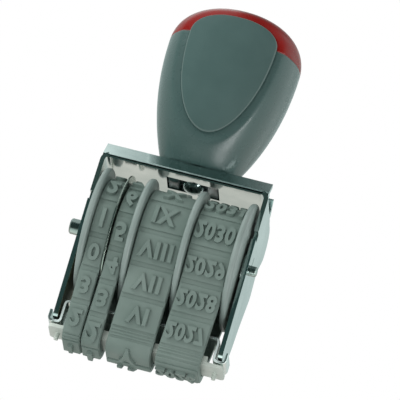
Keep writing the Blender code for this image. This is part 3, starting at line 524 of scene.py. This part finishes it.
def type_line(words, width, middle):
    """A line of raised type on the unrolled band, turned over as type is."""
    text = bpy.data.curves.new("type", "FONT")
    text.body = words
    text.align_x = "CENTER"
    text.size = 1
    text.offset = TYPE_WEIGHT
    text.space_character = TYPE_SPACING
    text.resolution_u = 3
    holder = bpy.data.objects.new("type", text)
    bpy.context.scene.collection.objects.link(holder)
    bpy.context.view_layer.update()
    low, high = Vector(holder.bound_box[0]), Vector(holder.bound_box[6])
    scale_y = TYPE_HEIGHT / (high.y - low.y)
    scale_x = min(width / (high.x - low.x), scale_y)
    text.extrude = 0.5
    mesh = bpy.data.meshes.new_from_object(holder.evaluated_get(bpy.context.evaluated_depsgraph_get()))
    bpy.data.objects.remove(holder)
    bm = bmesh.new()
    bm.from_mesh(mesh)
    bpy.data.meshes.remove(mesh)
    bmesh.ops.remove_doubles(bm, verts=bm.verts, dist=FONT_WELD)
    bmesh.ops.translate(bm, vec=(-(low.x + high.x) / 2, -(low.y + high.y) / 2, 0.5), verts=bm.verts)
    rise = TYPE_RELIEF - SLUG_HEIGHT / 2
    bmesh.ops.scale(bm, vec=(scale_x, -scale_y, rise), verts=bm.verts)
    bmesh.ops.translate(bm, vec=(0, middle, SLUG_HEIGHT / 2), verts=bm.verts)
    bmesh.ops.recalc_face_normals(bm, faces=bm.faces)
    top = [e for e in bm.edges if all(v.co.z > TYPE_RELIEF - 0.01 * MM for v in e.verts)
           and any(abs(f.normal.z) < 0.5 for f in e.link_faces)]
    bmesh.ops.bevel(bm, geom=top, offset=TYPE_EDGE, affect="EDGES", segments=1, profile=0.5,
                    material=-1, clamp_overlap=True)
    slice_along(bm, middle - TYPE_HEIGHT / 2, middle + TYPE_HEIGHT / 2, TYPE_STEP)
    return bm


def make_band(node, words, turn, front, pitch, spreads, sways, ribs):
    """A band with slugs, raised type and ribs.

    The soft rubber spreads to its neighbours round the wheel, and sways aside below it. Row 0 is the
    printing row, and the front place is where row 1 lies.
    """
    low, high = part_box(node)
    low.x -= spreads[0]
    high.x += spreads[1]
    width = high.x - low.x
    slug_width = width - 2 * SLUG_MARGIN
    half = SLUG_LENGTH / 2
    bm = flat_block(width, 0, PATH.total, -BAND_THICKNESS, 0, BAND_EDGE, BEND_STEP, True)
    for row, word in enumerate(words):
        middle = turn if row == 0 else front + (row - 1) * pitch
        add_to(bm, flat_block(slug_width, middle - half, middle + half, -BAND_EDGE, SLUG_HEIGHT,
                              SLUG_EDGE, BEND_STEP))
        if word:
            add_to(bm, type_line(word, slug_width - 3 * SLUG_MARGIN, middle))
    for rib in range(ribs):
        middle = (turn + front) / 2 + (rib - (ribs - 1) / 2) * RIB_PITCH
        add_to(bm, flat_block(slug_width, middle - RIB_WIDTH / 2, middle + RIB_WIDTH / 2, -BAND_EDGE,
                              RIB_HEIGHT, SLUG_EDGE, BEND_STEP))
    for vert in bm.verts:
        y, z = PATH.place(vert.co.y, vert.co.z)
        share = vert.co.x / width + 0.5
        sway = max(0, 1 - z / SWAY_TOP) * (sways[0] + (sways[1] - sways[0]) * share)
        vert.co = ((low.x + high.x) / 2 + vert.co.x + sway, y, z)
    bmesh.ops.remove_doubles(bm, verts=bm.verts, dist=BAND_WELD)
    bmesh.ops.recalc_face_normals(bm, faces=bm.faces)
    obj = mesh_object(bm, node + "_type", 40)
    return dress(obj, "stamp", "type_rubber", RUBBER, node)


TENS = ["1", "2", "3", "0"] * 3
UNITS = [str(number % 10) for number in range(1, 13)] + [""]
MONTHS = ["V", "VI", "VII", "VIII", "IX", "X", "XI", "XII", "", "I", "II", "III", "IV"]
YEARS = [str(year) for year in range(2026, 2038)]
PITCH = PATH.total / TYPE_ROWS
MONTH_PITCH = (PATH.total - MONTH_STRETCH) / TYPE_ROWS

make_band("day_tens_band", TENS, TENS_TURN - TENS_SETBACK, TENS_TURN + PITCH, PITCH,
          (SPREAD_TO_RIM, SPREAD_TO_DISC), TENS_SWAYS, ribs=2)
make_band("day_units_band", UNITS, UNITS_TURN, UNITS_TURN + PITCH, PITCH,
          (SPREAD_TO_RIM, SPREAD_TO_RIM), UNITS_SWAYS, ribs=0)
make_band("month_band", MONTHS, MONTH_TURN, MONTH_TURN + MONTH_PITCH + MONTH_STRETCH, MONTH_PITCH,
          (SPREAD_TO_RIM, SPREAD_TO_RIM), MONTH_SWAYS, ribs=3)
make_band("year_band", YEARS, YEAR_TURN - YEAR_SETBACK, YEAR_TURN + PITCH, PITCH,
          (SPREAD_TO_RIM, SPREAD_TO_RIM), YEAR_SWAYS, ribs=4)


# Handle

def handle_half(height, widest, narrow, neck_curve):
    """Half of one of the handle's sizes at a height, from its widest place, its neck and a curve."""
    if height >= HANDLE_WIDEST:
        rise = min(1, (height - HANDLE_WIDEST) / CROWN_HEIGHT)
        return widest * (1 - rise ** CROWN_CURVE) ** (1 / CROWN_CURVE)
    fall = (HANDLE_WIDEST - height) / (HANDLE_WIDEST - NECK_BOTTOM)
    return widest - (widest - narrow) * fall ** neck_curve


def half_width(height):
    """Half the handle's width at a height."""
    return handle_half(height, HANDLE_WIDTH / 2, NECK_WIDTH / 2, NECK_WIDTH_CURVE)


def half_depth(height):
    """Half the handle's thickness at a height."""
    return handle_half(height, HANDLE_THICKNESS / 2, NECK_THICKNESS / 2, NECK_DEPTH_CURVE)


def centre_x(height):
    """The handle stands a little out of true, as it does in the photograph."""
    return HANDLE_X + HANDLE_LEAN * (height - NECK_BOTTOM)


def oval(vert, power):
    """A point of a unit circle, moved out to a squarer oval."""
    return [math.copysign(abs(value) ** (2 / power), value) for value in vert.co.xy]


def front_depth(x, height):
    """How far the bulb's front lies from its middle, at a place in the front view."""
    share = min(1, abs(x) / half_width(height))
    return half_depth(height) * (1 - share ** SECTION_CURVE) ** (1 / SECTION_CURVE)


def panel_distance(x, height):
    """How far a place in the front view lies outside the panel's outline, or less than 0 inside it."""
    above = height > HANDLE_WIDEST
    reach = Vector((PANEL_WIDTH / 2, PANEL_RISE if above else PANEL_DROP))
    curve = PANEL_TOP_CURVE if above else PANEL_BOTTOM_CURVE
    share = Vector((abs(x) / reach.x, abs(height - HANDLE_WIDEST) / reach.y))
    level = max(0.01, (share.x ** curve + share.y ** curve) ** (1 / curve))
    across = (share.x / level) ** (curve - 1) / reach.x
    along = (share.y / level) ** (curve - 1) / reach.y
    return (level - 1) / Vector((across, along)).length


def valley_depth(distance):
    """The soft valley round a panel, and the bed under it."""
    if distance > 0:
        return VALLEY_DEPTH * (1 - smooth_step(distance / VALLEY_WIDTH))
    return VALLEY_DEPTH + (BED_DEPTH - VALLEY_DEPTH) * smooth_step(-distance / BED_STEP)


def bridge_rings(bm, rings):
    """Joins each ring of points to the next one."""
    loops = [[edge for edge in bm.edges if all(vert in ring for vert in edge.verts)]
             for ring in (set(ring) for ring in rings)]
    for lower, upper in zip(loops, loops[1:]):
        bmesh.ops.bridge_loops(bm, edges=lower + upper)
    return loops


def bulb(stations):
    """A closed stretch of the bulb, from rings at heights, each drawn in by an amount."""
    bm = bmesh.new()
    mark = bm.verts.layers.float.new("edge")
    rings = []
    for height, inset in stations:
        ring = bmesh.ops.create_circle(bm, segments=BULB_SIDES, radius=1)["verts"]
        for vert in ring:
            # The seam's rounding is marked, and the handle and cap materials paint a pale highlight along
            # it
            vert[mark] = inset / SEAM_EDGE
            x, y = oval(vert, SECTION_CURVE)
            x *= max(0, half_width(height) - inset)
            y *= max(0, half_depth(height) - inset)
            sunk = min(abs(y), valley_depth(panel_distance(x, height)))
            vert.co = (centre_x(height) + x, y - math.copysign(sunk, y), height)
        rings.append(ring)
    loops = bridge_rings(bm, rings)
    for loop in (loops[0], loops[-1]):
        bmesh.ops.contextual_create(bm, geom=loop)
    return bm


def quarter_turn():
    """The angles of the rings along a rounded edge."""
    return [math.pi / 2 * step / ROUNDING_STEPS for step in range(ROUNDING_STEPS + 1)]


def seam(height, side):
    """Rings that round the bulb's edge off at the seam, on its lower or upper side."""
    turns = quarter_turn()
    return [(height + side * SEAM_EDGE * (1 - math.sin(turn)), SEAM_EDGE * (1 - math.cos(turn)))
            for turn in (turns if side < 0 else reversed(turns))]


def make_body():
    """The handle's body: a bulb above the lips, and the solid's own foot below."""
    steps = math.ceil((CAP_SPLIT - NECK_BOTTOM) / BULB_STEP)
    rise = (CAP_SPLIT - SEAM_EDGE - NECK_BOTTOM) / steps
    stations = [(NECK_BOTTOM + rise * step, 0) for step in range(steps)]
    bm = bulb(stations + seam(CAP_SPLIT, -1))
    foot = merged_copy("handle_body")
    geometry = foot.verts[:] + foot.edges[:] + foot.faces[:]
    bmesh.ops.bisect_plane(foot, geom=geometry, dist=0, plane_co=(0, 0, NECK_BOTTOM), plane_no=(0, 0, 1),
                           clear_outer=True)
    rim = [edge for edge in foot.edges if edge.is_boundary]
    bmesh.ops.triangle_fill(foot, edges=rim, use_beauty=True)
    add_to(bm, foot)
    bmesh.ops.recalc_face_normals(bm, faces=bm.faces)
    body = mesh_object(bm, "handle_body_form", 40)
    return dress(body, "stamp", "handle_plastic", HANDLE_GREY, "handle_body")


def make_cap():
    """The handle's cap, from the seam to the crown."""
    stations = seam(CAP_SPLIT, 1)
    start = math.asin((CAP_SPLIT + SEAM_EDGE - HANDLE_WIDEST) / CROWN_HEIGHT)
    for step in range(1, CROWN_STEPS + 1):
        turn = start + (math.pi / 2 - start) * step / CROWN_STEPS
        stations.append((HANDLE_WIDEST + CROWN_HEIGHT * math.sin(turn), 0))
    bm = bulb(stations)
    bmesh.ops.remove_doubles(bm, verts=bm.verts, dist=FORM_WELD)
    bmesh.ops.recalc_face_normals(bm, faces=bm.faces)
    cap = mesh_object(bm, "handle_cap_form", 40)
    return dress(cap, "stamp", "cap_plastic", CAP_RED, "handle_cap")


def make_panel(node, side):
    """A grip panel with a rounded edge, in loops from the middle of its back to the middle of its face."""
    stations = [(share, 0, PANEL_THICKNESS) for share in (0, 0.5, 1)]
    for turn in quarter_turn():
        stations.append((1, PANEL_EDGE * (1 - math.cos(turn)), PANEL_EDGE * (1 - math.sin(turn))))
    stations += [(1 - step / PANEL_RINGS, 0, 0) for step in range(1, PANEL_RINGS + 1)]
    bm = bmesh.new()
    mark = bm.verts.layers.float.new("edge")
    rings = []
    for share, inset, depth in stations:
        ring = bmesh.ops.create_circle(bm, segments=PANEL_SIDES, radius=1)["verts"]
        for vert in ring:
            # The panel's rounded rim is marked, and the panel material paints a pale highlight along it
            vert[mark] = math.sin(math.pi * min(1, depth / PANEL_EDGE)) if share == 1 else 0
            x, rise = oval(vert, PANEL_TOP_CURVE if vert.co.y > 0 else PANEL_BOTTOM_CURVE)
            x *= PANEL_WIDTH / 2
            rise *= PANEL_RISE if rise > 0 else PANEL_DROP
            out = Vector((x, rise))
            out *= share * (1 - inset / out.length)
            height = HANDLE_WIDEST + out.y
            y = side * (front_depth(out.x, height) - depth)
            vert.co = (centre_x(height) + out.x, y, height)
        rings.append(ring)
    bridge_rings(bm, rings)
    bmesh.ops.remove_doubles(bm, verts=bm.verts, dist=FORM_WELD)
    bmesh.ops.recalc_face_normals(bm, faces=bm.faces)
    panel = mesh_object(bm, node + "_form", 40)
    return dress(panel, "stamp", "panel_plastic", PANEL_GREY, node)


make_body()
make_cap()
make_panel("front_grip_panel", -1)
make_panel("rear_grip_panel", 1)


# Metal pieces and wheels

def make_frame():
    """The frame, with its arms' inner sides marked for painted shade, and its lips' folds pressed sharper.
    """
    bm = merged_copy("frame")
    # Inner faces of the arms below INSIDE_TOP are marked, and the frame material paints them dark olive as
    # painted shade
    mark = bm.loops.layers.float.new("inside")
    for face in bm.faces:
        inwards = face.normal.x * face.calc_center_median().x < 0 and abs(face.normal.x) > FACING
        for loop in face.loops:
            loop[mark] = 1 if inwards and loop.vert.co.z < INSIDE_TOP else 0
    for vert in bm.verts:
        side = math.copysign(1, vert.co.y)
        reach = vert.co.yz - Vector((side * FOLD_PLACE, FOLD_HEIGHT))
        if abs(reach.length - FOLD_RADIUS) < FOLD_REACH:
            tight = Vector((side * TIGHT_FOLD_PLACE, TIGHT_FOLD_HEIGHT))
            vert.co.yz = tight + reach * TIGHT_FOLD_SHARE
        elif abs(vert.co.x) < CORNER_START and vert.co.z > PLATE_BOTTOM - TOUCH_GAP:
            if abs(abs(vert.co.y) - PLATE_REACH) < FOLD_REACH:
                y, z = PLATE_EDGE_TOP if vert.co.z > PLATE_BOTTOM + TOUCH_GAP else PLATE_EDGE_BOTTOM
                vert.co.yz = (side * y, z)
    frame_piece = mesh_object(bm, "frame_finish")
    add_bevel(frame_piece, FRAME_EDGE, 4)
    return dress(frame_piece, "stamp", "frame_metal", CHROME, "frame")


def make_platen():
    """The platen with its feet drawn in a little, so that they end where the clip's hooks do."""
    bm = merged_copy("platen")
    bmesh.ops.scale(bm, vec=(PLATEN_SHARE, 1, 1), verts=bm.verts)
    bmesh.ops.translate(bm, vec=(PLATEN_SHIFT, 0, 0), verts=bm.verts)
    platen = mesh_object(bm, "platen_finish")
    add_bevel(platen, PLATEN_EDGE)
    return dress(platen, "stamp", "platen_plastic", CREAM, "platen")


def make_clip():
    """The clip, with the cut edges of its hooks' inner legs unplated and painted near white as a highlight.
    """
    bm = merged_copy("platen_clip")
    # Cut edges of the hooks' inner legs are marked, and the clip material paints them near white as a
    # painted highlight
    mark = bm.loops.layers.float.new("cut")
    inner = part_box("frame")[1].x - SHEET / 2
    for face in bm.faces:
        for loop in face.loops:
            unplated_painted_highlight = HOOK_START < abs(loop.vert.co.x) < inner and abs(face.normal.y) > FACING
            loop[mark] = 1 if unplated_painted_highlight else 0
    clip = mesh_object(bm, "platen_clip_finish")
    add_bevel(clip, CLIP_EDGE, 3)
    return dress(clip, "stamp", "clip_metal", CLIP_CHROME, "platen_clip")


make_frame()
make_clip()
refined("axle", "stamp", "axle_steel", STEEL, AXLE_EDGE)
refined("left_spacer", "stamp", "axle_steel", STEEL, SMALL_EDGE)
refined("right_spacer", "stamp", "axle_steel", STEEL, SMALL_EDGE)
refined("separator_disc", "stamp", "axle_steel", DISC_STEEL, SMALL_EDGE)
refined("handle_screw", "stamp", "screw_steel", DARK_STEEL, SMALL_EDGE)
refined("threaded_insert", "stamp", "insert_brass", BRASS, SMALL_EDGE)
make_platen()
for wheel in ("day_tens", "day_units", "month", "year"):
    refined(wheel + "_wheel", wheel, "wheel_plastic", RIM_PLASTIC, WHEEL_EDGE, angle=45)


# Stage, light and camera

def make_floor():
    """A pale floor under the stamp, seen from above only: light and reflections come up through it."""
    bm = bmesh.new()
    bmesh.ops.create_grid(bm, x_segments=1, y_segments=1, size=FLOOR_SIZE / 2)
    floor = mesh_object(bm, "floor")
    material = new_material("floor_paint", srgb(236, 237, 236), 0.8)
    path = add_node(material, "ShaderNodeLightPath")
    geometry = add_node(material, "ShaderNodeNewGeometry")
    above = add_node(material, "ShaderNodeMath", operation="SUBTRACT")
    clear = add_node(material, "ShaderNodeBsdfTransparent")
    mix = add_node(material, "ShaderNodeMixShader")
    shader = material.node_tree.nodes["Principled BSDF"]
    output = material.node_tree.nodes["Material Output"]
    join(material, path.outputs["Is Camera Ray"], above.inputs[0])
    join(material, geometry.outputs["Backfacing"], above.inputs[1])
    above.use_clamp = True
    join(material, above.outputs[0], mix.inputs["Fac"])
    join(material, clear.outputs[0], mix.inputs[1])
    join(material, shader.outputs[0], mix.inputs[2])
    join(material, mix.outputs[0], output.inputs["Surface"])
    floor.data.materials.append(material)


def make_world():
    """A studio that is white to the camera, and even and soft on matte surfaces.

    Mirrors show it with a dark front, a pale back, a ceiling that is dark but for its left, and windows at
    the right and below.
    """
    world = bpy.data.worlds.new("studio")
    world.use_nodes = True
    bpy.context.scene.world = world
    nodes, links = world.node_tree.nodes, world.node_tree.links

    def ramp(source, stops):
        low, high = stops[0][0], stops[-1][0]
        node = nodes.new("ShaderNodeValToRGB")
        while len(node.color_ramp.elements) < len(stops):
            node.color_ramp.elements.new(0.5)
        for element, (place, colour) in zip(node.color_ramp.elements, stops):
            element.position = (place - low) / (high - low)
            element.color = colour
        stretch = nodes.new("ShaderNodeMapRange")
        stretch.inputs["From Min"].default_value = low
        stretch.inputs["From Max"].default_value = high
        links.new(source, stretch.inputs["Value"])
        links.new(stretch.outputs["Result"], node.inputs["Fac"])
        return node.outputs["Color"]

    def mix(blend, factor, first, second):
        node = nodes.new("ShaderNodeMix")
        node.data_type = "RGBA"
        node.blend_type = blend
        if factor:
            links.new(factor, node.inputs["Factor"])
        else:
            node.inputs["Factor"].default_value = 1
        links.new(first, node.inputs["A"])
        links.new(second, node.inputs["B"])
        return node.outputs["Result"]

    def background(colour, strength):
        node = nodes.new("ShaderNodeBackground")
        node.inputs["Color"].default_value = colour
        node.inputs["Strength"].default_value = strength
        return node

    glow = nodes.new("ShaderNodeRGB").outputs[0]
    glow.default_value = GLOW
    place = nodes.new("ShaderNodeTexCoord")
    split = nodes.new("ShaderNodeSeparateXYZ")
    links.new(place.outputs["Generated"], split.inputs[0])
    walls = ramp(split.outputs["Y"], WALLS)
    ceiling = ramp(split.outputs["X"], CEILING)
    tint = ramp(split.outputs["Z"], TINT)
    right = ramp(split.outputs["X"], RIGHT_WINDOW)
    below = ramp(split.outputs["Z"], LOW_WINDOW)
    above = ramp(split.outputs["Z"], CEILING_EDGE)
    room = mix("MULTIPLY", None, walls, tint)
    room = mix("ADD", None, room, mix("MULTIPLY", None, right, glow))
    room = mix("ADD", None, room, mix("MULTIPLY", None, below, glow))
    surroundings = mix("MIX", above, room, ceiling)

    seen = background(WHITE, 1)
    lit = background(WHITE, FILL_STRENGTH)
    mirrored = background(WHITE, 1)
    links.new(surroundings, mirrored.inputs["Color"])
    path = nodes.new("ShaderNodeLightPath")
    soft = nodes.new("ShaderNodeMixShader")
    final = nodes.new("ShaderNodeMixShader")
    links.new(path.outputs["Is Glossy Ray"], soft.inputs["Fac"])
    links.new(lit.outputs[0], soft.inputs[1])
    links.new(mirrored.outputs[0], soft.inputs[2])
    links.new(path.outputs["Is Camera Ray"], final.inputs["Fac"])
    links.new(soft.outputs[0], final.inputs[1])
    links.new(seen.outputs[0], final.inputs[2])
    links.new(final.outputs[0], nodes["World Output"].inputs["Surface"])


def area_light(name, place, target, width, length, power, along=(0, 0, 1)):
    """A lamp that faces a target, with its length as near as can be to a direction."""
    data = bpy.data.lights.new(name, "AREA")
    data.shape = "RECTANGLE"
    data.size = width
    data.size_y = length
    data.energy = power
    light = bpy.data.objects.new(name, data)
    bpy.context.scene.collection.objects.link(light)
    back = (Vector(place) - Vector(target)).normalized()
    side = Vector(along).cross(back).normalized()
    basis = Matrix((side, back.cross(side), back)).transposed()
    light.matrix_world = Matrix.Translation(Vector(place)) @ basis.to_4x4()
    return light


def make_lamps():
    """Soft lamps that mirrors don't show, and a long lamp that only gloss shows, as the handle's streak."""
    key = area_light("key", (-0.55, -0.45, 0.4), STAMP_MIDDLE, width=0.4, length=0.4, power=2.2)
    back = area_light("back", (0.3, 0.6, 0.4), STAMP_MIDDLE, width=0.4, length=0.4, power=1.6)
    strip = area_light("strip", HANDLE_MIDDLE + STRIP_DISTANCE * STRIP_WAY, HANDLE_MIDDLE,
                       width=0.1, length=0.75, power=1.9, along=STRIP_ALONG)
    fill = area_light("fill", (-0.25, -0.65, -0.3), STAMP_MIDDLE, width=0.5, length=0.5, power=1.7)
    strip.visible_diffuse = False
    for lamp in (key, back, fill):
        lamp.visible_glossy = False


def make_camera():
    """The camera, which looks up at the stamp from its front right."""
    azimuth, elevation, roll = CAMERA_AZIMUTH, CAMERA_ELEVATION, CAMERA_ROLL
    back = Vector((math.sin(azimuth) * math.cos(elevation), -math.cos(azimuth) * math.cos(elevation),
                   math.sin(elevation)))
    level = Vector((math.cos(azimuth), math.sin(azimuth), 0))
    rise = back.cross(level)
    right = level * math.cos(roll) + rise * math.sin(roll)
    up = rise * math.cos(roll) - level * math.sin(roll)
    data = bpy.data.cameras.new("camera")
    data.sensor_width = SENSOR_WIDTH
    data.lens = SENSOR_WIDTH * CAMERA_DISTANCE / VIEW_WIDTH
    data.clip_start = 0.01
    data.clip_end = 10
    camera = bpy.data.objects.new("camera", data)
    bpy.context.scene.collection.objects.link(camera)
    basis = Matrix((right, up, back)).transposed()
    camera.matrix_world = Matrix.Translation(CAMERA_TARGET + back * CAMERA_DISTANCE) @ basis.to_4x4()
    bpy.context.scene.camera = camera


make_floor()
make_world()
make_lamps()
make_camera()
bpy.context.scene.view_settings.view_transform = "Standard"
